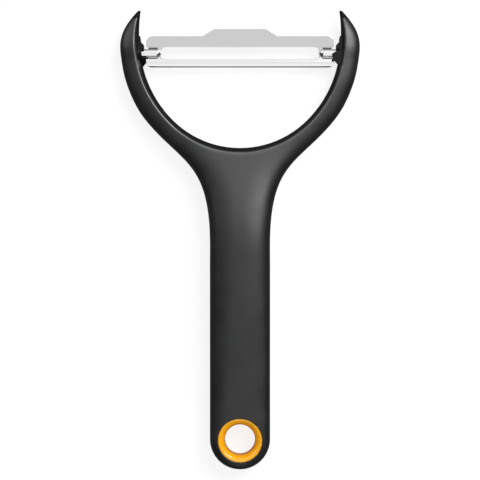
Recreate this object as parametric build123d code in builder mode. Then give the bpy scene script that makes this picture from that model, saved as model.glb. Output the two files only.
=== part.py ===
from build123d import *
from math import cos, pi, radians, sin, tan
import os

# Vegetable peeler with a wide swivelling blade, lying on its back.
# +Y runs along the handle towards the blade, +Z points up out of the front face.
# The origin is under the middle of the peeler, on the surface that it lies on.

# Driving dimensions of the handle and fork, in millimetres and degrees
overall_length = 183.0
handle_width = 24.0
handle_depth = 15.8
handle_end_depth = 13.5
arm_depth = 11.0
tip_depth = 5.6
flare_length = 91.5
arm_width = 8.3
claw_rise = 17.0
fork_drop = 37.8
skin = 1.4
hard_tip = 3.2
rim_bevel = 19.0
rim_land = 1.0
rim_round = 0.4
back_relief = 0.1

# Driving dimensions of the blade
blade_length = 75.0
blade_end_gap = 2.1
sheet = 0.6
guard_height = 6.9
fin_height = 2.85
fin_base = 30.0
fin_top = 20.8
lower_edge_drop = 5.5
slot_end = 5.9
slot_above = 2.6
slot_below = 2.2
bridge = 1.3
strip_bulge = 0.3
strip_tuck = 0.8
swing_limit = 30.0
journal_radius = 1.65
journal_wall = 0.5
journal_reach = 4.4
journal_clearance = 0.07

# Driving dimensions of the hanging ring
ring_border = 3.2
ring_width = 2.8
ring_land = 4.0
ring_lip = 0.5
ring_recess = 0.6

# Places that follow from them
tip_y = overall_length / 2
handle_end_y = -overall_length / 2
handle_half_width = handle_width / 2
ring_radius = handle_half_width - ring_border
hole_radius = ring_radius - ring_width
ring_y = handle_end_y + handle_half_width
flare_y = tip_y - flare_length
pivot_y = tip_y - claw_rise
pivot_z = arm_depth / 2
blade_half = blade_length / 2
fork_half_gap = blade_half + blade_end_gap
fork_half_span = fork_half_gap + arm_width
half_sheet = sheet / 2
overrun = arm_depth

# A flare station holds shares of the flare's length, of the spread from handle to arm, of the
# way from handle depth to arm depth, and of the fork's half span for its rounded shoulder.
flare_station_shares = [
    (0.092, 0.013, 0.10, 0.230),
    (0.175, 0.047, 0.28, 0.250),
    (0.257, 0.118, 0.50, 0.275),
    (0.339, 0.259, 0.72, 0.296),
    (0.415, 0.457, 0.89, 0.298),
    (0.492, 0.652, 0.97, 0.275),
    (0.568, 0.798, 1.00, 0.242),
    (0.645, 0.894, 1.00, 0.213),
    (0.721, 0.957, 1.00, 0.196),
    (0.792, 0.989, 1.00, 0.190),
    (0.852, 1.000, 1.00, 0.188),
]
# A claw station holds the same, with the depth's share of the way from arm depth to tip depth.
claw_station_shares = [
    (0.907, 0.969, 0.24, 0.180),
    (0.956, 0.897, 0.58, 0.167),
    (1.000, 0.802, 1.00, 0.150),
]
# Along the grip the section eases from a flat-faced end to a full crown.
# A shoulder, like a fillet, leaves part of its half width flat.
handle_steps = 9
end_shoulder_share = 0.56
grip_shoulder_share = 0.88
widest_shoulder_share = 0.92
shoulder_fullness_share = 0.66
core_corner_share = 0.74

# The fork's opening is three tangent arcs a side: shares of its half gap, and their turns
fork_radius_shares = [0.96, 1.136, 1.515]
fork_turns = [45.0, 33.0, 24.0]


def body_stations():
    """List y, half width, half depth and shoulder width for every cross-section."""
    stations = []
    for step in range(handle_steps + 1):
        along_share = step / handle_steps
        ease_share = (1 - cos(pi * along_share)) / 2
        depth = handle_end_depth + ease_share * (handle_depth - handle_end_depth)
        shoulder_share = end_shoulder_share + ease_share * (grip_shoulder_share - end_shoulder_share)
        y = ring_y + along_share * (flare_y - ring_y)
        stations.append((y, handle_half_width, depth / 2, shoulder_share * handle_half_width))
    spread = fork_half_span - handle_half_width
    sections = [(handle_depth, arm_depth, row) for row in flare_station_shares]
    sections += [(arm_depth, tip_depth, row) for row in claw_station_shares]
    for first_depth, last_depth, row in sections:
        along_share, spread_share, depth_share, shoulder_share = row
        y = flare_y + along_share * flare_length
        depth = first_depth + depth_share * (last_depth - first_depth)
        half_width = handle_half_width + spread_share * spread
        shoulder = min(shoulder_share * fork_half_span, widest_shoulder_share * half_width)
        stations.append((y, half_width, depth / 2, shoulder))
    return stations


def draw_half_section(station):
    """Draw the right half of an outer cross-section, from the middle of the front to the back."""
    edge, half_depth, shoulder = station[1:]
    middle = max(half_depth, pivot_z)
    flat = edge - shoulder
    top = middle + half_depth
    bottom = middle - half_depth - back_relief
    reach = shoulder_fullness_share * shoulder
    rise = shoulder_fullness_share * half_depth
    Line((0, top), (flat, top))
    Bezier((flat, top), (flat + reach, top), (edge, middle + rise), (edge, middle))
    Bezier((edge, middle), (edge, middle - rise), (flat + reach, bottom), (flat, bottom))
    Line((flat, bottom), (0, bottom))


def draw_half_core(station):
    """Draw the right half of the core's cross-section: plain flats, a skin under the outside."""
    edge = station[1] - skin
    half_depth = station[2] - skin
    middle = max(station[2], pivot_z)
    flat = station[1] - station[3]
    corner = flat + core_corner_share * (edge - flat)
    drop = core_corner_share * half_depth
    Polyline(
        (0, middle + half_depth),
        (flat, middle + half_depth),
        (corner, middle + drop),
        (edge, middle),
        (corner, middle - drop),
        (flat, middle - half_depth),
        (0, middle - half_depth),
    )


def body_form(stations, draw_half, ruled):
    """Loft a form from the ring to the claw tips and round its end, with the fork still filled."""
    with BuildPart() as form:
        for station in stations:
            with BuildSketch(Plane.XZ.offset(-station[0])):
                with BuildLine():
                    draw_half(station)
                    mirror(about=Plane.YZ)
                make_face()
        loft(ruled=ruled)
        with BuildSketch(Plane.XZ.offset(-ring_y)):
            with BuildLine() as half_section:
                draw_half(stations[0])
                Line(half_section.line @ 1, half_section.line @ 0)
            make_face()
        revolve(axis=Axis((0, ring_y, 0), (0, 0, 1)), revolution_arc=-180)
    return form.part


def draw_half_opening(grow):
    """Draw the right half of the fork's opening, grown outwards and open past the claw tips."""
    start = Vector(0, pivot_y - fork_drop - grow)
    heading = Vector(1, 0)
    for radius_share, turn in zip(fork_radius_shares, fork_turns):
        arc = JernArc(start, heading, radius_share * fork_half_gap + grow, turn)
        start = arc @ 1
        heading = arc % 1
    open_y = max(start.Y, tip_y) + overrun
    Polyline(start, (start.X, open_y), (0, open_y))


# The opening's cutter: its walls slope back from a narrow land at mid-depth to both faces
cutter_half = handle_depth - pivot_z
cutter_grow = (cutter_half - rim_land / 2) * tan(radians(rim_bevel))
with BuildPart() as fork_opening:
    for level, grow in (
        (-cutter_half, cutter_grow),
        (-rim_land / 2, 0),
        (rim_land / 2, 0),
        (cutter_half, cutter_grow),
    ):
        with BuildSketch(Plane.XY.offset(pivot_z + level)):
            with BuildLine():
                draw_half_opening(grow)
                mirror(about=Plane.YZ)
            make_face()
    loft(ruled=True)

# The bearing side of the right arm: boss, upper nub and the stop ledge in front of the blade
boss_radius = 3.4
boss_face = 0.3
arm_root = 2.4
nub_gap = 0.95
nub_low = 1.7
nub_high = 3.3
nub_shoulder = 4.4
nub_ramp = 6.8
nub_half_depth = 2.6
ledge_overlap = 0.7
ledge_top = 0.7
ledge_nose_top = 0.3
ledge_nose_bottom = 2.6
ledge_heel = 3.8
ledge_bottom = 5.9
ledge_heel_gap = 0.5
ledge_height = 3.7
stop_clearance = 0.15

root_x = fork_half_gap + arm_root
nub_x = blade_half + nub_gap
ledge_x = blade_half - ledge_overlap
heel_x = blade_half + ledge_heel_gap
bearing_radius = journal_radius + journal_clearance
ledge_low = bearing_radius + stop_clearance


def bearing_side(strip_reach):
    """Make the bearing side of the right arm, for a strip that rises this far off its plane."""
    stop_normal = Vector(0, sin(radians(swing_limit)), cos(radians(swing_limit)))
    stop_point = Vector(0, pivot_y, pivot_z) + stop_normal * (strip_reach + stop_clearance)
    with BuildPart() as ledge:
        with BuildSketch(Plane.XY.offset(pivot_z + ledge_low)):
            with BuildLine():
                Polyline(
                    (ledge_x, pivot_y - ledge_nose_top),
                    (ledge_x, pivot_y - ledge_nose_bottom),
                    (heel_x, pivot_y - ledge_heel),
                    (fork_half_gap, pivot_y - ledge_bottom),
                    (root_x, pivot_y - ledge_bottom),
                    (root_x, pivot_y + ledge_top),
                    (nub_x, pivot_y + ledge_top),
                    close=True,
                )
            make_face()
        extrude(amount=ledge_height - ledge_low)
        split(bisect_by=Plane(origin=stop_point, x_dir=(1, 0, 0), z_dir=stop_normal))
    with BuildPart() as side:
        add(ledge.part)
        with BuildSketch(Plane.XY.offset(pivot_z - nub_half_depth)):
            with BuildLine():
                Polyline(
                    (root_x, pivot_y + nub_low),
                    (nub_x, pivot_y + nub_low),
                    (nub_x, pivot_y + nub_high),
                    (fork_half_gap, pivot_y + nub_shoulder),
                    (fork_half_gap + boss_face, pivot_y + nub_ramp),
                    (root_x, pivot_y + nub_ramp),
                    close=True,
                )
            make_face()
        extrude(amount=2 * nub_half_depth)
        with BuildSketch(Plane.YZ.offset(fork_half_gap - boss_face)):
            with Locations((pivot_y, pivot_z)):
                Circle(boss_radius)
        extrude(amount=arm_root + boss_face)
    return side.part


# The right arm's ledge stops the strip in front, and the left arm's, turned over, stops it behind
right_bearing = bearing_side(strip_bulge + half_sheet)
left_bearing = bearing_side(half_sheet).rotate(Axis((0, pivot_y, pivot_z), (0, 1, 0)), 180)
bearing_end = blade_half + journal_reach + journal_clearance
tip_seam = Plane.XZ.offset(hard_tip - tip_y)
outer_stations = body_stations()
core_stations = outer_stations[:1] + outer_stations[handle_steps:]
core_form = body_form(core_stations, draw_half_core, True)

# The outer body has a flat back to lie on, and the fork's front rim is rounded
with BuildPart() as outer_body:
    add(body_form(outer_stations, draw_half_section, False))
    split(bisect_by=Plane.XY)
    add(fork_opening.part, mode=Mode.SUBTRACT)
    rims = outer_body.edges(Select.NEW).filter_by_position(Axis.Z, pivot_z + rim_land, handle_depth)
    fillet(rims.filter_by_position(Axis.Y, pivot_y - fork_half_span, tip_y, (True, False)), rim_round)

with BuildPart() as claw_tips:
    add(outer_body.part)
    split(bisect_by=tip_seam, keep=Keep.BOTTOM)

with BuildPart() as fork_frame:
    add(core_form)
    add(fork_opening.part, mode=Mode.SUBTRACT)
    add(claw_tips.part)
    add(right_bearing)
    add(left_bearing)
    with BuildSketch(Plane.YZ):
        with Locations((pivot_y, pivot_z)):
            Circle(bearing_radius)
    extrude(amount=bearing_end, both=True, mode=Mode.SUBTRACT)
    with BuildSketch(Plane.XY):
        with Locations((0, ring_y)):
            Circle(ring_radius)
    extrude(amount=handle_depth + overrun, mode=Mode.SUBTRACT)

with BuildPart() as grip_shell:
    add(outer_body.part)
    for inner_form in (core_form, right_bearing, left_bearing):
        add(inner_form, mode=Mode.SUBTRACT)
    split(bisect_by=tip_seam, keep=Keep.TOP)
    with BuildSketch(Plane.XY):
        with Locations((0, ring_y)):
            Circle(ring_radius)
    extrude(amount=handle_depth + overrun, mode=Mode.SUBTRACT)

# The hanging ring: a funnel from each face to a short straight throat
ring_z = handle_end_depth / 2
ring_rim = ring_z - ring_recess
with BuildPart() as hanging_ring:
    with BuildSketch(Plane.XZ.offset(-ring_y)):
        with BuildLine():
            Polyline(
                (hole_radius, ring_z - ring_land / 2),
                (hole_radius, ring_z + ring_land / 2),
                (ring_radius - ring_lip, ring_z + ring_rim),
                (ring_radius, ring_z + ring_rim),
                (ring_radius, ring_z - ring_rim),
                (ring_radius - ring_lip, ring_z - ring_rim),
                close=True,
            )
        make_face()
    revolve(axis=Axis((0, ring_y, 0), (0, 0, 1)))

# The blade: one curved sheet, cut to its outline, slotted and notched, with pressed journals
guard_corner = 2.6
strip_corner = 2.2
slot_corner = 1.4
fin_corner = 2.0
fin_foot = 1.2
grind_width = 0.7
grind_depth = 0.35
root_margin = 0.15

slot_length = blade_length - 2 * slot_end
slot_y = pivot_y + (slot_above - slot_below) / 2
slot_width = slot_above + slot_below
bridge_x = slot_length / 2 + bridge
journal_root = slot_length / 2 + root_margin + journal_radius
journal_nose = blade_half + journal_reach - journal_radius
journal_bore = journal_radius - journal_wall
pivot_line = Axis((0, pivot_y, pivot_z), (1, 0, 0))
guard_y = pivot_y + guard_height
fin_y = guard_y + fin_height
strip_y = pivot_y - lower_edge_drop
strip_middle_y = pivot_y - (slot_below + lower_edge_drop) / 2

with BuildPart() as blade:
    with BuildSketch(Plane.YZ.offset(-blade_half)):
        with BuildLine():
            Line((fin_y + sheet, pivot_z), (pivot_y - slot_below, pivot_z))
            ThreePointArc(
                (pivot_y - slot_below, pivot_z),
                (strip_middle_y, pivot_z + strip_bulge),
                (strip_y, pivot_z - strip_tuck),
            )
            offset(amount=half_sheet)
        make_face()
    extrude(amount=blade_length)
    with BuildSketch(Plane.XY) as blade_outline:
        with BuildLine():
            Polyline(
                (-blade_half, strip_y),
                (blade_half, strip_y),
                (blade_half, guard_y),
                (fin_base / 2, guard_y),
                (fin_top / 2, fin_y),
                (-fin_top / 2, fin_y),
                (-fin_base / 2, guard_y),
                (-blade_half, guard_y),
                close=True,
            )
        make_face()
        guard_points = blade_outline.vertices().group_by(Axis.Y)[1].sort_by(Axis.X)
        fillet([guard_points[0], guard_points[-1]], guard_corner)
        foot_points = blade_outline.vertices().filter_by_position(Axis.X, -fin_base / 2, fin_base / 2)
        fillet(foot_points.group_by(Axis.Y)[0], fin_foot)
        fillet(blade_outline.vertices().group_by(Axis.Y)[-1], fin_corner)
        fillet(blade_outline.vertices().group_by(Axis.Y)[0], strip_corner)
    extrude(amount=arm_depth, mode=Mode.INTERSECT)
    with BuildSketch(Plane.XY):
        with Locations((0, slot_y)):
            RectangleRounded(slot_length, slot_width, slot_corner)
        with Locations((blade_half, slot_y), (-blade_half, slot_y)):
            Rectangle(2 * (blade_half - bridge_x), slot_width)
        with Locations((journal_root, pivot_y), (-journal_root, pivot_y)):
            Circle(journal_bore)
    extrude(amount=arm_depth, mode=Mode.SUBTRACT)
    with BuildSketch(Plane.YZ.offset(slot_corner - slot_length / 2)):
        for lip_y, side in ((pivot_y + slot_above, 1), (pivot_y - slot_below, -1)):
            with BuildLine():
                Polyline(
                    (lip_y, pivot_z + half_sheet - grind_depth),
                    (lip_y - side * grind_width, pivot_z + half_sheet),
                    (lip_y, pivot_z + sheet),
                    (lip_y + side * grind_width, pivot_z + sheet),
                    (lip_y + side * grind_width, pivot_z + half_sheet),
                    close=True,
                )
            make_face()
    extrude(amount=slot_length - 2 * slot_corner, mode=Mode.SUBTRACT)
    with BuildSketch(Plane.XY.offset(pivot_z)):
        with BuildLine():
            root_arc = CenterArc((journal_root, pivot_y), journal_radius, 90, 90)
            nose_arc = CenterArc((journal_nose, pivot_y), journal_radius, 0, 90)
            inner_root = CenterArc((journal_root, pivot_y), journal_bore, 90, 90)
            inner_nose = CenterArc((journal_nose, pivot_y), journal_bore, 0, 90)
            Line(root_arc @ 0, nose_arc @ 1)
            Line(inner_root @ 0, inner_nose @ 1)
            Line(root_arc @ 1, inner_root @ 1)
            Line(nose_arc @ 0, inner_nose @ 0)
        make_face()
        mirror(about=Plane.YZ)
    revolve(axis=pivot_line, revolution_arc=180)

os.makedirs("parts", exist_ok=True)
for name, piece in (
    ("fork_frame", fork_frame),
    ("grip_shell", grip_shell),
    ("hanging_ring", hanging_ring),
    ("blade", blade),
):
    piece.part.label = name
    export_step(piece.part, f"parts/{name}.step")
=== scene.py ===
from math import cos, pi, radians, sin, tan

import bmesh
import bpy
import numpy as np
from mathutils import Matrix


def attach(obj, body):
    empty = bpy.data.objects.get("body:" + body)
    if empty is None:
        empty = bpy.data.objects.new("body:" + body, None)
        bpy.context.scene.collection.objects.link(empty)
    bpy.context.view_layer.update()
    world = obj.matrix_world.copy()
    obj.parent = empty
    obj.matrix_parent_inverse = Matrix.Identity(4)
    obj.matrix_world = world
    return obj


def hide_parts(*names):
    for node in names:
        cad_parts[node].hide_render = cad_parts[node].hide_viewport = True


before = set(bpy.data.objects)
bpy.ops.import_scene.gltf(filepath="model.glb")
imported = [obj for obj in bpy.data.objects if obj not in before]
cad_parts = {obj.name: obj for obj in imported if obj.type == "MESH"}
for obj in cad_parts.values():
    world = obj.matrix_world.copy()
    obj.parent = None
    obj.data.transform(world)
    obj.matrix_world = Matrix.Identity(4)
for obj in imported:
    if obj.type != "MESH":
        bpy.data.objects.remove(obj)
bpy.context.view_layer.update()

mm = 0.001
scene = bpy.context.scene


# helpers for node trees, meshes and objects

def addNode(tree, kind, sockets=None, **settings):
    node = tree.nodes.new(kind)
    for name, value in settings.items():
        setattr(node, name, value)
    for name, value in (sockets or {}).items():
        if isinstance(value, bpy.types.NodeSocket):
            tree.links.new(value, node.inputs[name])
        else:
            node.inputs[name].default_value = value
    return node


def compute(tree, operation, *values):  # one Math node
    return addNode(tree, "ShaderNodeMath", dict(enumerate(values)), operation=operation).outputs[0]


def splitVector(tree, vector):
    return addNode(tree, "ShaderNodeSeparateXYZ", {0: vector}).outputs


noiseLow, noiseHigh = 0.3, 0.7  # nearly all of a noise texture's values lie between these


def spread(tree, value, low, high, fromLow=noiseLow, fromHigh=noiseHigh, **settings):
    sockets = {"Value": value, "From Min": fromLow, "From Max": fromHigh, "To Min": low, "To Max": high}
    return addNode(tree, "ShaderNodeMapRange", sockets, **settings).outputs["Result"]


def newObject(name, mesh):
    piece = bpy.data.objects.new(name, mesh)
    scene.collection.objects.link(piece)
    return piece


def meshFrom(work, name, sharpAngle):  # faces outwards, smooth except at the sharp edges
    bmesh.ops.recalc_face_normals(work, faces=work.faces)
    mesh = bpy.data.meshes.new(name)
    work.to_mesh(mesh)
    work.free()
    mesh.shade_smooth()
    mesh.set_sharp_from_angle(angle=radians(sharpAngle))
    return mesh


def bridge(work, first, second):  # quads between two neighbouring runs of vertices
    for j in range(len(first) - 1):
        work.faces.new((first[j], first[j + 1], second[j + 1], second[j]))


# materials, all on Object coordinates, with sizes in millimetres

def startMaterial(name):
    material = bpy.data.materials.new(name)
    material.use_nodes = True
    tree = material.node_tree
    shader = tree.nodes["Principled BSDF"]
    place = addNode(tree, "ShaderNodeTexCoord").outputs["Object"]
    return material, tree, shader, place


def noiseField(tree, place, size, detail=2.0, stretch=(1, 1, 1), roughness=0.5):
    scale = [1 / (size * mm * part) for part in stretch]
    mapped = addNode(tree, "ShaderNodeMapping", {"Vector": place, "Scale": scale}).outputs[0]
    sockets = {"Vector": mapped, "Scale": 1.0, "Detail": detail, "Roughness": roughness}
    return addNode(tree, "ShaderNodeTexNoise", sockets).outputs["Fac"]


def blendColors(tree, factor, first, second):
    node = addNode(tree, "ShaderNodeMix", data_type="RGBA")
    tree.links.new(factor, node.inputs["Factor"])
    for socket, value in ((node.inputs[6], first), (node.inputs[7], second)):  # its colour sockets
        if isinstance(value, bpy.types.NodeSocket):
            tree.links.new(value, socket)
        else:
            socket.default_value = (*value, 1)
    return node.outputs[2]


def addGrain(tree, shader, height, strength, depth):
    bump = addNode(tree, "ShaderNodeBump", {"Height": height, "Strength": strength, "Distance": depth * mm})
    tree.links.new(bump.outputs[0], shader.inputs["Normal"])


def makeMoulding(name, look):  # plastic or rubber with a cloudy tone, a fine grain and perhaps a polished rim with a painted highlight
    material, tree, shader, place = startMaterial(name)
    cloudy = noiseField(tree, place, look["cloud"], look["cloudDetail"])
    grain = noiseField(tree, place, look["grain"])
    tone = blendColors(tree, spread(tree, cloudy, 0, 1), look["dark"], look["light"])
    rough = spread(tree, cloudy, look["roughLow"], look["roughHigh"])
    if "polishedRimHighlight" in look:
        rim = addNode(tree, "ShaderNodeAttribute", attribute_name="rimPolishAndHighlight").outputs["Fac"]
        patchy = noiseField(tree, place, look["polishHighlightPatch"], look["cloudDetail"])
        polishedRimHighlight = compute(tree, "MULTIPLY", rim, spread(tree, patchy, look["polishHighlightLow"], 1))
        # the rim's paler colour is a painted highlight, and its lower roughness is polish
        tone = blendColors(tree, polishedRimHighlight, tone, look["polishedRimHighlight"])
        rough = compute(tree, "MULTIPLY_ADD", polishedRimHighlight, -look["rimSmooth"], rough)
    tree.links.new(tone, shader.inputs["Base Color"])
    tree.links.new(rough, shader.inputs["Roughness"])
    shader.inputs["Specular IOR Level"].default_value = look["specular"]
    addGrain(tree, shader, grain, look["grainStrength"], look["grainDepth"])
    return material


rubberLook = {  # the soft skin, smoother and paler along the fork's front rim, where the paler colour is a painted highlight
    "dark": (0.0055, 0.0060, 0.0065), "light": (0.0085, 0.0090, 0.0095),
    "cloud": 9.0, "cloudDetail": 3.0, "roughLow": 0.38, "roughHigh": 0.46, "specular": 0.78,
    "grain": 0.22, "grainDepth": 0.010, "grainStrength": 0.5,
    # a painted highlight in a paler colour along the front rim, which is also smoother there
    "polishedRimHighlight": (0.095, 0.097, 0.100), "polishHighlightPatch": 5.0, "polishHighlightLow": 0.55, "rimSmooth": 0.12,
}
coreLook = {  # the hard satin core, darker than the skin
    "dark": (0.0025, 0.0026, 0.0028), "light": (0.0045, 0.0046, 0.0049),
    "cloud": 6.0, "cloudDetail": 3.0, "roughLow": 0.34, "roughHigh": 0.46, "specular": 0.18,
    "grain": 0.12, "grainDepth": 0.006, "grainStrength": 0.5,
}
ringLook = {  # the glossy orange ring
    "dark": (0.95, 0.42, 0.001), "light": (1.0, 0.47, 0.003),
    "cloud": 3.0, "cloudDetail": 3.0, "roughLow": 0.13, "roughHigh": 0.20, "specular": 0.85,
    "grain": 0.35, "grainDepth": 0.002, "grainStrength": 0.4,
}
steelLook = {  # rolled along X, and ground smoother on the strip and the journals, where a painted sheen brightens the colour
    "dark": (0.66, 0.66, 0.665), "light": (0.73, 0.73, 0.735), "paintedZone": (0.93, 0.93, 0.93),
    # a streak's length, width and height
    "streak": (14.0, 0.05, 0.05), "streakRough": 0.6, "streakStrength": 0.5, "streakDepth": 0.0004,
    "cloud": 7.0, "detail": 3.0, "roughLow": 0.06, "roughHigh": 0.09, "groundRough": 0.12,
    # the painted zone, with its painted sheen and ground finish: the strip below this Y, and the journals
    # beyond this X and above this Z
    "paintedZoneBelow": 72.4, "paintedZoneBlend": 0.3,
    "journalFrom": 31.8, "journalFade": 0.3, "journalAbove": 5.82, "journalRise": 0.2,
}
lipLook = {  # what differs on the lips beside the journals: a painted shade that darkens them, and a deeper painted shade on the lower lip below this Y
    "dark": (0.40, 0.40, 0.405), "light": (0.48, 0.48, 0.485), "paintedZone": (0.10, 0.10, 0.10),
    "paintedZoneBelow": 74.5,
}


def makeSteel(name, look):
    material, tree, shader, place = startMaterial(name)
    streaks = noiseField(tree, place, 1.0, look["detail"], look["streak"], look["streakRough"])
    cloudy = noiseField(tree, place, look["cloud"], look["detail"])
    tone = blendColors(tree, spread(tree, streaks, 0, 1), look["dark"], look["light"])
    at = splitVector(tree, place)
    stripTop = look["paintedZoneBelow"] + look["paintedZoneBlend"]
    stripFull = look["paintedZoneBelow"] - look["paintedZoneBlend"]
    strip = spread(tree, at["Y"], 1, 0, stripFull * mm, stripTop * mm)
    sideways = compute(tree, "ABSOLUTE", at["X"])
    journalStart = look["journalFrom"] - look["journalFade"]
    beside = spread(tree, sideways, 0, 1, journalStart * mm, look["journalFrom"] * mm)
    journalFull = look["journalAbove"] + look["journalRise"]
    raised = spread(tree, at["Z"], 0, 1, look["journalAbove"] * mm, journalFull * mm)
    paintedZone = compute(tree, "MAXIMUM", strip, compute(tree, "MULTIPLY", beside, raised))
    # the painted zone's colour is a painted sheen on the steel and a painted shade on the lips; its lower
    # roughness is the ground finish
    tree.links.new(blendColors(tree, paintedZone, tone, look["paintedZone"]), shader.inputs["Base Color"])
    rolled = spread(tree, cloudy, look["roughLow"], look["roughHigh"])
    tree.links.new(spread(tree, paintedZone, rolled, look["groundRough"], 0, 1), shader.inputs["Roughness"])
    shader.inputs["Metallic"].default_value = 1.0
    addGrain(tree, shader, streaks, look["streakStrength"], look["streakDepth"])
    return material


rubber = makeMoulding("softRubber", rubberLook)
corePlastic = makeMoulding("corePlastic", coreLook)
ringPlastic = makeMoulding("orangePlastic", ringLook)
steel = makeSteel("rolledSteel", steelLook)
lipSteel = makeSteel("paintedShadeSteel", {**steelLook, **lipLook})
print("materials ready")


# grip skin: one closed moulding, drawn on lines that run from its inner edge to its outline

gripSize = {
    # millimetres and degrees
    "length": 183.0, "handleWidth": 24.0, "handleDepth": 15.8, "endDepth": 13.5,
    "armDepth": 11.0, "tipDepth": 5.6, "armWidth": 8.3, "clawRise": 17.0, "forkDrop": 37.8,
    "forkHalfGap": 39.6, "skin": 1.4, "hardTip": 3.2, "backRelief": 0.1,
    "rimBevel": 19.0, "rimLand": 1.0, "rimRound": 0.60, "eyeRound": 0.25, "eyeRadius": 8.8,
    "crownEnd": 45.0, "crownFade": 40.0, "fullerEnd": 87.0, "fullerFade": 14.0,
    "eyeLead": 9.0, "forkLag": 17.0, "lagFade": 45.0, "sharpAngle": 50.0,
    # shares of a width, a depth or a length
    "fullness": 0.66, "fuller": 0.78, "coreCorner": 0.74, "crown": 0.10,
    "endShoulder": 0.56, "gripShoulder": 0.88, "leadShare": 0.3, "lagStart": 0.55, "lagShare": 0.45,
    # cross-sections of the flare and of the claw, as shares: place, half width, depth, shoulder
    "flare": [
        (0.092, 0.013, 0.10, 0.230), (0.175, 0.047, 0.28, 0.250), (0.257, 0.118, 0.50, 0.275),
        (0.339, 0.259, 0.72, 0.296), (0.415, 0.457, 0.89, 0.298), (0.492, 0.652, 0.97, 0.275),
        (0.568, 0.798, 1.00, 0.242), (0.645, 0.894, 1.00, 0.213), (0.721, 0.957, 1.00, 0.196),
        (0.792, 0.989, 1.00, 0.190), (0.852, 1.000, 1.00, 0.188),
    ],
    "claw": [(0.907, 0.969, 0.24, 0.180), (0.956, 0.897, 0.58, 0.167), (1.000, 0.802, 1.00, 0.150)],
    # the fork's inner edge, from its bottom up: radius over the half gap, turn in degrees
    "forkArcs": [(0.96, 45.0), (1.136, 33.0), (1.515, 24.0)],
    # polish and painted highlight over the front rim's rounding, from the face to the wall, one more than
    # the rounds
    "rimPolishAndHighlight": [0.35, 1.0, 1.0, 0.7, 0.2, 0.0],
    # lines and steps of the mesh
    "endLines": 26, "eyeLines": 24, "handleLines": 74, "forkLines": 96, "across": 28, "rounds": 5,
    "handleSteps": 9, "trackPoints": 4000, "halvings": 40, "settling": 60,
    # metres within which vertices are one, and below which an edge is a sliver
    "weld": 1e-6, "sliver": 1e-7,
}

tipY = gripSize["length"] / 2
halfWidth = gripSize["handleWidth"] / 2
ringY = halfWidth - tipY
pivotY = tipY - gripSize["clawRise"]
pivotZ = gripSize["armDepth"] / 2
halfSpan = gripSize["forkHalfGap"] + gripSize["armWidth"]
seamY = tipY - gripSize["hardTip"]
bottomY = pivotY - gripSize["forkDrop"]
wallSlope = tan(radians(gripSize["rimBevel"]))


def gripStations():  # place along Y, half width, half depth and shoulder of every cross-section
    rows = []
    for step in range(gripSize["handleSteps"] + 1):
        along = step / gripSize["handleSteps"]
        ease = (1 - cos(pi * along)) / 2
        depth = gripSize["endDepth"] + ease * (gripSize["handleDepth"] - gripSize["endDepth"])
        shoulder = gripSize["endShoulder"] + ease * (gripSize["gripShoulder"] - gripSize["endShoulder"])
        rows.append((ringY * (1 - along), halfWidth, depth / 2, shoulder * halfWidth))
    parts = [(gripSize["handleDepth"], gripSize["armDepth"], row) for row in gripSize["flare"]]
    parts += [(gripSize["armDepth"], gripSize["tipDepth"], row) for row in gripSize["claw"]]
    for first, last, (along, wide, deep, shoulder) in parts:
        rows.append((along * tipY, halfWidth + wide * (halfSpan - halfWidth),
                     (first + deep * (last - first)) / 2, shoulder * halfSpan))
    return np.array(rows)


def smoothCurve(knots, values):  # natural cubic through the stations
    gaps = np.diff(knots)
    system = np.eye(len(knots))
    target = np.zeros(len(knots))
    for i in range(1, len(knots) - 1):
        system[i, i - 1:i + 2] = gaps[i - 1], 2 * (gaps[i - 1] + gaps[i]), gaps[i]
        target[i] = 6 * ((values[i + 1] - values[i]) / gaps[i] - (values[i] - values[i - 1]) / gaps[i - 1])
    bend = np.linalg.solve(system, target)

    def at(y):
        i = np.clip(np.searchsorted(knots, y) - 1, 0, len(gaps) - 1)
        a = (knots[i + 1] - y) / gaps[i]
        b = 1 - a
        return (a * values[i] + b * values[i + 1]
                + ((a ** 3 - a) * bend[i] + (b ** 3 - b) * bend[i + 1]) * gaps[i] ** 2 / 6)
    return at


stations = gripStations()
outsideCurves = [smoothCurve(stations[:, 0], stations[:, i]) for i in (1, 2, 3)]
coreStations = np.vstack([stations[:1], stations[gripSize["handleSteps"]:]])


def shoulderParameter(share, fullness):  # where along the shoulder's curve its width reaches this share
    low, high = np.zeros_like(share), np.ones_like(share)
    for _ in range(gripSize["halvings"]):
        t = (low + high) / 2
        wide = 3 * (1 - t) ** 2 * t * fullness + 3 * (1 - t) * t ** 2 + t ** 3
        low, high = np.where(wide < share, t, low), np.where(wide < share, high, t)
    return (low + high) / 2


def smoothStep(value):
    value = np.clip(value, 0, 1)
    return value * value * (3 - 2 * value)


def outsideHeight(x, y, side):  # of the skin's outside: side is +1 for the front and -1 for the back
    along = np.maximum(y, ringY)
    reach = np.where(y < ringY, np.hypot(x, y - ringY), x)
    edge, deep, shoulder = (curve(along) for curve in outsideCurves)
    middle = np.maximum(deep, pivotZ)
    swell = smoothStep((gripSize["fullerEnd"] - y) / gripSize["fullerFade"])
    fullness = gripSize["fullness"] + (gripSize["fuller"] - gripSize["fullness"]) * swell
    t = shoulderParameter(np.clip((reach - edge + shoulder) / shoulder, 0, 1), fullness)
    flatShare = (1 - t) ** 3 + 3 * (1 - t) ** 2 * t
    roundShare = 3 * (1 - t) * t ** 2 * fullness
    if side > 0:
        crown = gripSize["crown"] * smoothStep((gripSize["crownEnd"] - y) / gripSize["crownFade"])
        return middle + deep * (flatShare + roundShare) * (1 - crown * (reach / edge) ** 2 * flatShare)
    return np.maximum(middle - (deep + gripSize["backRelief"]) * flatShare - deep * roundShare, 0)


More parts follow.
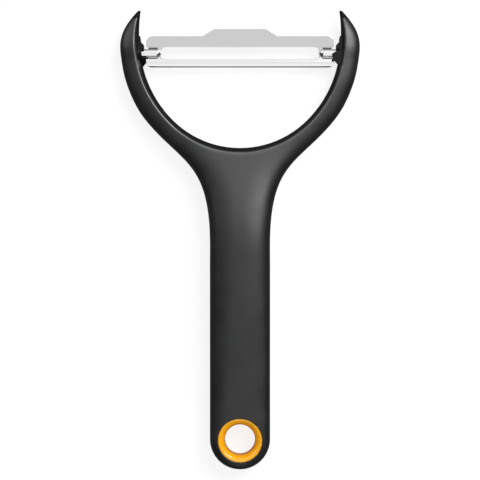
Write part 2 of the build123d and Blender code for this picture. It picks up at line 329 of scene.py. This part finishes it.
def coreHeight(x, y, side):  # of the core under the skin, which is straight between its corners
    along = np.maximum(y, ringY)
    reach = np.where(y < ringY, np.hypot(x, y - ringY), x)
    places, widths, depths, shoulders = coreStations.T
    edge = np.interp(along, places, widths) - gripSize["skin"]
    flat = np.interp(along, places, widths - shoulders)
    deep = np.interp(along, places, depths) - gripSize["skin"]
    middle = np.interp(along, places, np.maximum(depths, pivotZ))
    corner = flat + gripSize["coreCorner"] * (edge - flat)
    upper = 1 - (1 - gripSize["coreCorner"]) * np.clip((reach - flat) / (corner - flat), 0, 1)
    lower = gripSize["coreCorner"] * np.clip((edge - reach) / (edge - corner), 0, 1)
    return middle + side * deep * np.where(reach < corner, upper, lower)


def outlinePoint(y):
    return outsideCurves[0](y), y


def rimStop():  # where, on the middle line, the handle's face starts to round into the fork's wall
    rimZ = pivotZ
    for _ in range(gripSize["settling"]):
        rimY = bottomY - (abs(rimZ - pivotZ) - gripSize["rimLand"] / 2) * wallSlope
        rimZ = float(outsideHeight(np.array([0.0]), np.array([rimY]), 1)[0])
    return rimY - gripSize["rimRound"]


def forkTrack():  # fine points along the fork's inner edge, with their outward directions
    arcs = []
    point, heading, passed = np.array([0, bottomY]), 0.0, 0.0
    for radiusShare, degrees in gripSize["forkArcs"]:
        size, turn = radiusShare * gripSize["forkHalfGap"], radians(degrees)
        middle = point + size * np.array([-sin(heading), cos(heading)])
        arcs.append((passed, size, middle, heading))
        heading += turn
        point = middle + size * np.array([sin(heading), -cos(heading)])
        passed += size * turn
    distances = np.linspace(0, passed, gripSize["trackPoints"])
    track, ways = [], []
    for distance in distances:
        start, size, middle, facing = [arc for arc in arcs if arc[0] <= distance][-1]
        angle = facing + (distance - start) / size
        way = np.array([sin(angle), -cos(angle)])
        track.append(middle + size * way)
        ways.append(way)
    return distances, np.array(track), np.array(ways)


# every line is its foot, its outward way, its wall's slope, its end on the outline, and if it has a wall

def eyeLines():  # round the handle's end, then from the eye to the handle's side
    eye, radius = np.array([0, ringY]), gripSize["eyeRadius"]
    lines = []
    for turn in np.linspace(-pi / 2, 0, gripSize["endLines"], endpoint=False):
        way = np.array([cos(turn), sin(turn)])
        lines.append((eye + radius * way, way, 0, eye + halfWidth * way, True))
    for turn in np.linspace(0, pi / 2, gripSize["eyeLines"]):
        way = np.array([cos(turn), sin(turn)])
        end = outlinePoint(ringY + (radius + gripSize["eyeLead"]) * turn / (pi / 2))
        lines.append((eye + radius * way, way, 0, end, True))
    return lines


def handleLines(stopY):  # from the middle line, between the eye and the fork
    startY = ringY + gripSize["eyeRadius"] + gripSize["eyeRound"]
    lines = []
    for y in np.linspace(startY, stopY, gripSize["handleLines"] + 1, endpoint=False)[1:]:
        share = (y - startY) / (stopY - startY)
        lead = (gripSize["eyeLead"] - gripSize["eyeRound"]) * (1 - smoothStep(share / gripSize["leadShare"]))
        lag = gripSize["forkLag"] * smoothStep((share - gripSize["lagStart"]) / gripSize["lagShare"])
        lines.append(((0, y), (0, 1), 0, outlinePoint(y + (lead - lag)), False))
    return lines


def forkLines(stopY):  # from the fork's sloping wall up to the seam below the hard tip
    distances, track, ways = forkTrack()
    seamPassed = float(np.interp(seamY, track[:, 1], distances))
    lines = []
    for distance in np.linspace(0, seamPassed, gripSize["forkLines"]):
        foot = np.array([np.interp(distance, distances, track[:, k]) for k in (0, 1)])
        way = np.array([np.interp(distance, distances, ways[:, k]) for k in (0, 1)])
        lag = gripSize["forkLag"] * (1 - smoothStep(distance / gripSize["lagFade"]))
        startGap = (bottomY - stopY) * (1 - distance / seamPassed)
        end = outlinePoint(min(foot[1] - lag - startGap, seamY))
        lines.append((foot, way / np.hypot(*way), wallSlope, end, True))
    return lines


stopY = rimStop()
gripLines = eyeLines() + handleLines(stopY) + forkLines(stopY)
feet, normals, slopes, ends, walled = (np.array(part, dtype=float) for part in zip(*gripLines))
walled = walled > 0


def footAt(height):  # the inner edge's place at this height on every line
    grow = slopes * np.maximum(np.abs(height - pivotZ) - gripSize["rimLand"] / 2, 0)
    return feet + normals * grow[:, None]


def meetWall(heightRule, side):  # where the wall meets a surface, as places and heights
    height = np.full(len(feet), pivotZ)
    for _ in range(gripSize["settling"]):
        place = footAt(height)
        height = heightRule(place[:, 0], place[:, 1], side)
    return footAt(height), height


def sheetAcross(starts, stops, heightRule, side):  # rows of points, closer together towards the outline
    share = 1 - (1 - np.linspace(0, 1, gripSize["across"] + 1)) ** 2
    plan = starts[:, None, :] + share[None, :, None] * (stops - starts)[:, None, :]
    return np.dstack([plan, heightRule(plan[..., 0], plan[..., 1], side)])


def gripHalf():  # the right half's outer and inner faces and its rounded rims, by side
    rimRounds = np.where(slopes > 0, gripSize["rimRound"], gripSize["eyeRound"])
    away = ends - np.column_stack([np.zeros(len(ends)), np.maximum(ends[:, 1], ringY)])
    innerEnds = ends - gripSize["skin"] * away / np.hypot(away[:, 0], away[:, 1])[:, None]
    outer, inner, rims = {}, {}, {}
    for side in (1, -1):
        rim, rimHeight = meetWall(outsideHeight, side)
        starts = np.where(walled[:, None], rim + normals * rimRounds[:, None], feet)
        starts[-1, 1] = min(starts[-1, 1], seamY)  # the last line keeps to the seam
        outer[side] = sheetAcross(starts, ends, outsideHeight, side)
        lowHeight = rimHeight - side * rimRounds
        top = outer[side][:, 0, :]
        corner = np.column_stack([rim, rimHeight])
        bottom = np.column_stack([footAt(lowHeight), lowHeight])
        rims[side] = [
            (1 - t) ** 2 * top + 2 * t * (1 - t) * corner + t * t * bottom
            for t in np.linspace(0, 1, gripSize["rounds"] + 1)[1:]
        ]
        seam, _ = meetWall(coreHeight, side)
        innerStarts = np.where(walled[:, None], seam, feet)
        inner[side] = sheetAcross(innerStarts, innerEnds, coreHeight, side)
    return outer, inner, rims


def buildGripSkin():
    outer, inner, rims = gripHalf()
    work = bmesh.new()
    polishAndHighlightLayer = work.verts.layers.float.new("rimPolishAndHighlight")
    for mirror in (1, -1):
        loops = []  # one closed loop of four runs for each line
        for i in range(len(feet)):
            runs = [
                list(outer[1][i]) + list(outer[-1][i][-2::-1]),
                list(inner[1][i]) + list(inner[-1][i][-2::-1]),
                [rim[i] for rim in rims[1]] if walled[i] else [],
                [rim[i] for rim in rims[-1]] if walled[i] else [],
            ]
            loops.append([
                [work.verts.new((mirror * x * mm, y * mm, z * mm)) for x, y, z in run]
                for run in runs
            ])
            if slopes[i] > 0:
                outerLoop, _, frontRim, _ = loops[-1]
                for vert, amount in zip([outerLoop[0]] + frontRim, gripSize["rimPolishAndHighlight"]):
                    vert[polishAndHighlightLayer] = amount
        for first, second in zip(loops, loops[1:]):
            bridge(work, first[0], second[0])
            bridge(work, first[1], second[1])
            if first[2] and second[2]:
                for end, run in ((0, 2), (-1, 3)):
                    bridge(work, [first[0][end]] + first[run] + [first[1][end]],
                           [second[0][end]] + second[run] + [second[1][end]])
        outerLoop, innerLoop, frontRim, backRim = loops[-1]  # the skin's cut end at the seam
        bridge(work, outerLoop, innerLoop)
        work.faces.new([outerLoop[0]] + frontRim + [innerLoop[0]])
        work.faces.new([outerLoop[-1]] + backRim + [innerLoop[-1]])
    bmesh.ops.remove_doubles(work, verts=work.verts, dist=gripSize["weld"])
    bmesh.ops.dissolve_degenerate(work, edges=work.edges, dist=gripSize["sliver"])
    openEdges = sum(len(edge.link_faces) != 2 for edge in work.edges)
    print("grip skin ready:", len(work.faces), "faces,", openEdges, "open edges")
    return meshFrom(work, "gripSkin", gripSize["sharpAngle"])


gripSkin = newObject("gripSkin", buildGripSkin())
gripSkin.data.materials.append(rubber)
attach(gripSkin, "handle")
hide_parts("grip_shell")


# core of the fork: the CAD node with softened edges

coreEdges = {"width": 0.10, "sharpAngle": 34.0, "segments": 2}  # millimetres and degrees
cadMesh = {  # for joining a CAD node's triangles: metres and degrees, and how far its large faces lead
    "weld": 2e-6, "flatAngle": 0.8, "faceWeight": 100,
}


def mergedCopy(nodeName, name):
    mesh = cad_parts[nodeName].data.copy()
    mesh.name = name
    work = bmesh.new()
    work.from_mesh(mesh)
    bmesh.ops.remove_doubles(work, verts=work.verts, dist=cadMesh["weld"])
    bmesh.ops.dissolve_limit(work, angle_limit=radians(cadMesh["flatAngle"]),
                             verts=work.verts, edges=work.edges)
    work.to_mesh(mesh)
    work.free()
    mesh.shade_smooth()
    return mesh


def finishedCopy(nodeName, name, finish, edges):  # soft edges, and flat faces that stay flat
    piece = newObject(name, mergedCopy(nodeName, name))
    piece.data.materials.clear()
    piece.data.materials.append(finish)
    bevel = piece.modifiers.new("softEdges", "BEVEL")
    bevel.width = edges["width"] * mm
    bevel.segments = edges["segments"]
    bevel.limit_method = "ANGLE"
    bevel.angle_limit = radians(edges["sharpAngle"])
    bevel.use_clamp_overlap = False
    facing = piece.modifiers.new("flatFacing", "WEIGHTED_NORMAL")
    facing.weight = cadMesh["faceWeight"]
    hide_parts(nodeName)
    return piece


forkCore = finishedCopy("fork_frame", "forkCore", corePlastic, coreEdges)
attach(forkCore, "handle")
print("core ready")


# hanging ring: a rounded profile turned about the eye by Geometry Nodes

ringSize = {
    "inputs": {  # of the tree, in metres and counts
        "Hole Radius": 6.0 * mm, "Ring Radius": 8.8 * mm, "Rim Height": 6.15 * mm,
        "Throat Height": 2.0 * mm, "Lip": 0.5 * mm, "Groove": 0.22 * mm, "Round": 0.10 * mm,
        "Round Steps": 5, "Segments": 128,
    },
    "funnelSteps": 6, "sharpAngle": 40.0,
    "axisRadius": 1e-6,  # the circle that the profile follows, small enough to keep the profile's own radii
}


def makeRingTree():
    tree = bpy.data.node_groups.new("hangingRing", "GeometryNodeTree")
    face = tree.interface
    face.new_socket("Geometry", in_out="OUTPUT", socket_type="NodeSocketGeometry")
    for name, value in ringSize["inputs"].items():
        kind = "NodeSocketInt" if isinstance(value, int) else "NodeSocketFloat"
        face.new_socket(name, in_out="INPUT", socket_type=kind).default_value = value
    face.new_socket("Centre", in_out="INPUT", socket_type="NodeSocketVector")
    face.new_socket("Finish", in_out="INPUT", socket_type="NodeSocketMaterial")
    given = addNode(tree, "NodeGroupInput").outputs

    lipRadius = compute(tree, "SUBTRACT", given["Ring Radius"], given["Lip"])
    rimRadius = compute(tree, "SUBTRACT", given["Ring Radius"], given["Groove"])
    funnelWidth = compute(tree, "SUBTRACT", lipRadius, given["Hole Radius"])
    funnelDepth = compute(tree, "SUBTRACT", given["Rim Height"], given["Throat Height"])
    grooveDepth = compute(tree, "MULTIPLY", given["Groove"], 2.0)
    grooveFloor = compute(tree, "SUBTRACT", given["Rim Height"], grooveDepth)
    half = []  # from the throat over the bell mouth and the lip to the ring's outer wall
    for step in range(ringSize["funnelSteps"] + 1):
        turn = pi / 2 * (1 - step / ringSize["funnelSteps"])
        narrowing = compute(tree, "MULTIPLY", funnelWidth, sin(turn))
        rise = compute(tree, "MULTIPLY", funnelDepth, cos(turn))
        half.append((compute(tree, "SUBTRACT", lipRadius, narrowing),
                     compute(tree, "ADD", given["Throat Height"], rise)))
    half.append((rimRadius, given["Rim Height"]))
    half.append((rimRadius, grooveFloor))
    half.append((given["Ring Radius"], grooveFloor))
    mirrored = [(outward, compute(tree, "MULTIPLY", upward, -1.0)) for outward, upward in reversed(half)]
    corners = [
        addNode(tree, "ShaderNodeCombineXYZ", {"X": outward, "Y": upward}).outputs[0]
        for outward, upward in half + mirrored
    ]

    pick = tree.nodes.new("GeometryNodeIndexSwitch")
    pick.data_type = "VECTOR"
    while len(pick.index_switch_items) < len(corners):
        pick.index_switch_items.new()
    tree.links.new(addNode(tree, "GeometryNodeInputIndex").outputs[0], pick.inputs["Index"])
    for i, place in enumerate(corners):
        tree.links.new(place, pick.inputs[i + 1])
    points = addNode(tree, "GeometryNodePoints", {"Count": len(corners), "Position": pick.outputs[0]})
    outline = addNode(tree, "GeometryNodePointsToCurves", {"Points": points.outputs[0]})
    closed = addNode(tree, "GeometryNodeSetSplineCyclic", {"Geometry": outline.outputs[0], "Cyclic": True})
    fillet = {"Curve": closed.outputs[0], "Radius": given["Round"], "Count": given["Round Steps"]}
    rounded = addNode(tree, "GeometryNodeFilletCurve", fillet, mode="POLY")
    circle = {"Resolution": given["Segments"], "Radius": ringSize["axisRadius"]}
    path = addNode(tree, "GeometryNodeCurvePrimitiveCircle", circle)
    turned = addNode(tree, "GeometryNodeCurveToMesh",
                     {"Curve": path.outputs[0], "Profile Curve": rounded.outputs[0]})
    placed = addNode(tree, "GeometryNodeTransform",
                     {"Geometry": turned.outputs[0], "Translation": given["Centre"]})
    real = addNode(tree, "GeometryNodeRealizeInstances", {"Geometry": placed.outputs[0]})
    finish = addNode(tree, "GeometryNodeSetMaterial",
                     {"Geometry": real.outputs[0], "Material": given["Finish"]})
    result = addNode(tree, "NodeGroupOutput")
    tree.links.new(finish.outputs[0], result.inputs[0])
    return tree


def buildFromTree(name, tree, values):  # run the tree once and keep its result as a plain mesh
    piece = newObject(name, bpy.data.meshes.new(name + "Start"))
    modifier = piece.modifiers.new(name, "NODES")
    modifier.node_group = tree
    sockets = {item.name: item.identifier for item in tree.interface.items_tree if item.in_out == "INPUT"}
    for label, value in values.items():
        modifier[sockets[label]] = value
    piece.update_tag()
    evaluated = piece.evaluated_get(bpy.context.evaluated_depsgraph_get())
    mesh = bpy.data.meshes.new_from_object(evaluated)
    piece.modifiers.remove(modifier)
    piece.data = mesh
    mesh.name = name
    return piece


hangingRing = buildFromTree("hangingRing", makeRingTree(), {
    **ringSize["inputs"],
    "Centre": (0, ringY * mm, gripSize["endDepth"] / 2 * mm),
    "Finish": ringPlastic,
})
hangingRing.data.shade_smooth()
hangingRing.data.set_sharp_from_angle(angle=radians(ringSize["sharpAngle"]))
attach(hangingRing, "handle")
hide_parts("hanging_ring")
print("ring ready:", len(hangingRing.data.polygons), "faces")


# blade: the CAD node with softened edges, and two drawn lips beside each journal

bladeEdges = {"width": 0.05, "sharpAngle": 32.0, "segments": 2}  # millimetres and degrees
bladeSheet = finishedCopy("blade", "bladeSheet", steel, bladeEdges)
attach(bladeSheet, "blade")

lipSize = {  # millimetres from the swivel axis, a count and degrees
    "inner": 1.72, "drop": 1.25, "thick": 0.3, "start": 32.9, "end": 36.7, "above": 2.6, "below": 2.3,
    "overlap": 0.02, "top": 0.28, "steps": 8, "sharpAngle": 50.0,
}


def lipProfile(outer):  # from the sheet down towards the journal, and back under itself
    profile = []
    for thick in (0, lipSize["thick"]):
        wide = outer - lipSize["inner"] + thick
        run = []
        for step in range(lipSize["steps"] + 1):
            turn = pi / 2 * step / lipSize["steps"]
            down = lipSize["drop"] * (1 - cos(turn))
            run.append((outer + thick - wide * sin(turn), lipSize["top"] - thick - down))
        profile += run if thick == 0 else run[::-1]
    return profile


def buildJournalLips():
    work = bmesh.new()
    for mirror in (1, -1):
        for side, reach in ((1, lipSize["above"]), (-1, lipSize["below"])):
            profile = lipProfile(reach + lipSize["overlap"])
            near, far = (
                [work.verts.new((mirror * x * mm, (pivotY + side * y) * mm, (pivotZ + z) * mm))
                 for y, z in profile]
                for x in (lipSize["start"], lipSize["end"])
            )
            bridge(work, near + near[:1], far + far[:1])
            work.faces.new(near)
            work.faces.new(far)
    return meshFrom(work, "journalLips", lipSize["sharpAngle"])


journalLips = newObject("journalLips", buildJournalLips())
# the lips' material darkens them with painted shade
journalLips.data.materials.append(lipSteel)
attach(journalLips, "blade")
print("blade ready")


# floor, light and camera

studio = {
    # metres
    "floorHalf": 3.0, "cameraHeight": 0.7,
    # millimetres
    "floorDrop": 0.15, "cameraY": -0.1, "lens": 131.25, "sensor": 36.0,
    # the floor as it is lit, as the camera sees it and as glossy pieces reflect it
    "floorColor": (0.93, 0.93, 0.93), "floorShade": (0.22, 0.22, 0.22), "floorGlow": 0.84,
    "floorReflected": 0.10,
    # the sky as it lights the object, and the levels that glossy pieces reflect
    "skyLevel": 0.42, "skyLow": 0.0, "skyTop": 0.16, "skyLeft": 0.07,
    "bandTop": 0.71, "bandLow": 0.84, "wallLevel": 0.92,
    # X, Y or Z of a direction, between which each of these comes in or fades out
    "skyRise": (-0.05, 0.55), "leftEnd": (-0.5, -0.1), "bandRise": (0.70, 0.97),
    "bandSide": (0.09, 0.18), "bandStart": (0.15, 0.5), "wallTurn": (0.15, 0.55), "wallRise": (0.0, 0.15),
}
lamps = {  # watts, then metres
    "keySoftbox": {"power": 10.4, "wide": 0.50, "high": 0.85, "place": (0.52, 0.55, 0.80)},
    "fillSoftbox": {"power": 1.3, "wide": 0.40, "high": 0.90, "place": (-0.80, 0.50, 0.45)},
}


def rayKinds(tree):  # rays that show the white background, and rays that reflect the studio
    path = addNode(tree, "ShaderNodeLightPath").outputs
    shown = compute(tree, "MAXIMUM", path["Is Camera Ray"], path["Is Transmission Ray"])
    return shown, path["Is Glossy Ray"]


def makeFloor():
    material = bpy.data.materials.new("paleFloor")
    material.use_nodes = True
    tree = material.node_tree
    tree.nodes.clear()
    shown, glossy = rayKinds(tree)
    plain = addNode(tree, "ShaderNodeBsdfDiffuse", {"Color": (*studio["floorColor"], 1)})
    shade = addNode(tree, "ShaderNodeBsdfDiffuse", {"Color": (*studio["floorShade"], 1)})
    glow = addNode(tree, "ShaderNodeEmission", {"Strength": studio["floorGlow"]})
    lit = addNode(tree, "ShaderNodeAddShader", {0: shade.outputs[0], 1: glow.outputs[0]})
    seen = addNode(tree, "ShaderNodeMixShader", {0: shown, 1: plain.outputs[0], 2: lit.outputs[0]})
    dim = addNode(tree, "ShaderNodeEmission", {"Strength": studio["floorReflected"]})
    mixed = addNode(tree, "ShaderNodeMixShader", {0: glossy, 1: seen.outputs[0], 2: dim.outputs[0]})
    addNode(tree, "ShaderNodeOutputMaterial", {"Surface": mixed.outputs[0]})
    half, level = studio["floorHalf"], -studio["floorDrop"] * mm
    corners = [(-half, -half, level), (half, -half, level), (half, half, level), (-half, half, level)]
    mesh = bpy.data.meshes.new("floor")
    mesh.from_pydata(corners, [], [(0, 1, 2, 3)])
    mesh.materials.append(material)
    newObject("floor", mesh)


def reflectedStudio(tree):  # a graded sky, dimmer on the left, a band overhead, a wall beyond the blade
    way = splitVector(tree, addNode(tree, "ShaderNodeTexCoord").outputs["Generated"])
    soft = {"interpolation_type": "SMOOTHSTEP"}
    zenith = spread(tree, way["X"], studio["skyLeft"], studio["skyTop"], *studio["leftEnd"])
    sky = spread(tree, way["Z"], studio["skyLow"], zenith, *studio["skyRise"], **soft)
    bandLevel = spread(tree, way["Z"], studio["bandLow"], studio["bandTop"], *studio["bandRise"])
    sideways = compute(tree, "ABSOLUTE", way["X"])
    band = spread(tree, sideways, bandLevel, 0, *studio["bandSide"], **soft)
    risen = spread(tree, way["Z"], 0, 1, *studio["bandStart"])
    ceiling = compute(tree, "MULTIPLY_ADD", band, risen, sky)
    above = spread(tree, way["Z"], 0, 1, *studio["wallRise"])
    wall = compute(tree, "MULTIPLY", above, studio["wallLevel"])
    beyond = spread(tree, way["Y"], 0, 1, *studio["wallTurn"])
    return spread(tree, beyond, ceiling, wall, 0, 1)


def makeWorld():
    world = bpy.data.worlds.new("studio")
    scene.world = world
    world.use_nodes = True
    tree = world.node_tree
    tree.nodes.clear()
    shown, glossy = rayKinds(tree)
    white = (1, 1, 1, 1)
    levels = (studio["skyLevel"], reflectedStudio(tree), 1.0)
    soft, gloss, plain = (
        addNode(tree, "ShaderNodeBackground", {"Color": white, "Strength": level}).outputs[0]
        for level in levels
    )
    lit = addNode(tree, "ShaderNodeMixShader", {0: glossy, 1: soft, 2: gloss})
    mixed = addNode(tree, "ShaderNodeMixShader", {0: shown, 1: lit.outputs[0], 2: plain})
    addNode(tree, "ShaderNodeOutputWorld", {"Surface": mixed.outputs[0]})


def makeLamp(name, power, wide, high, place):  # a softbox that faces the object and stays out of sight
    lamp = bpy.data.lights.new(name, "AREA")
    lamp.energy = power
    lamp.shape = "RECTANGLE"
    lamp.size, lamp.size_y = wide, high
    holder = newObject(name, lamp)
    holder.location = place
    holder.visible_camera = False
    aim = holder.location.copy()
    aim.negate()
    holder.rotation_euler = aim.to_track_quat("-Z", "Y").to_euler()


def makeCamera():  # straight above the object's front
    camera = bpy.data.cameras.new("frontCamera")
    camera.lens = studio["lens"]
    camera.sensor_width = studio["sensor"]
    holder = newObject("frontCamera", camera)
    holder.location = (0, studio["cameraY"] * mm, studio["cameraHeight"] + pivotZ * mm)
    scene.camera = holder


makeFloor()
makeWorld()
for name, values in lamps.items():
    makeLamp(name, **values)
makeCamera()
scene.view_settings.view_transform = "Standard"
print("studio ready")
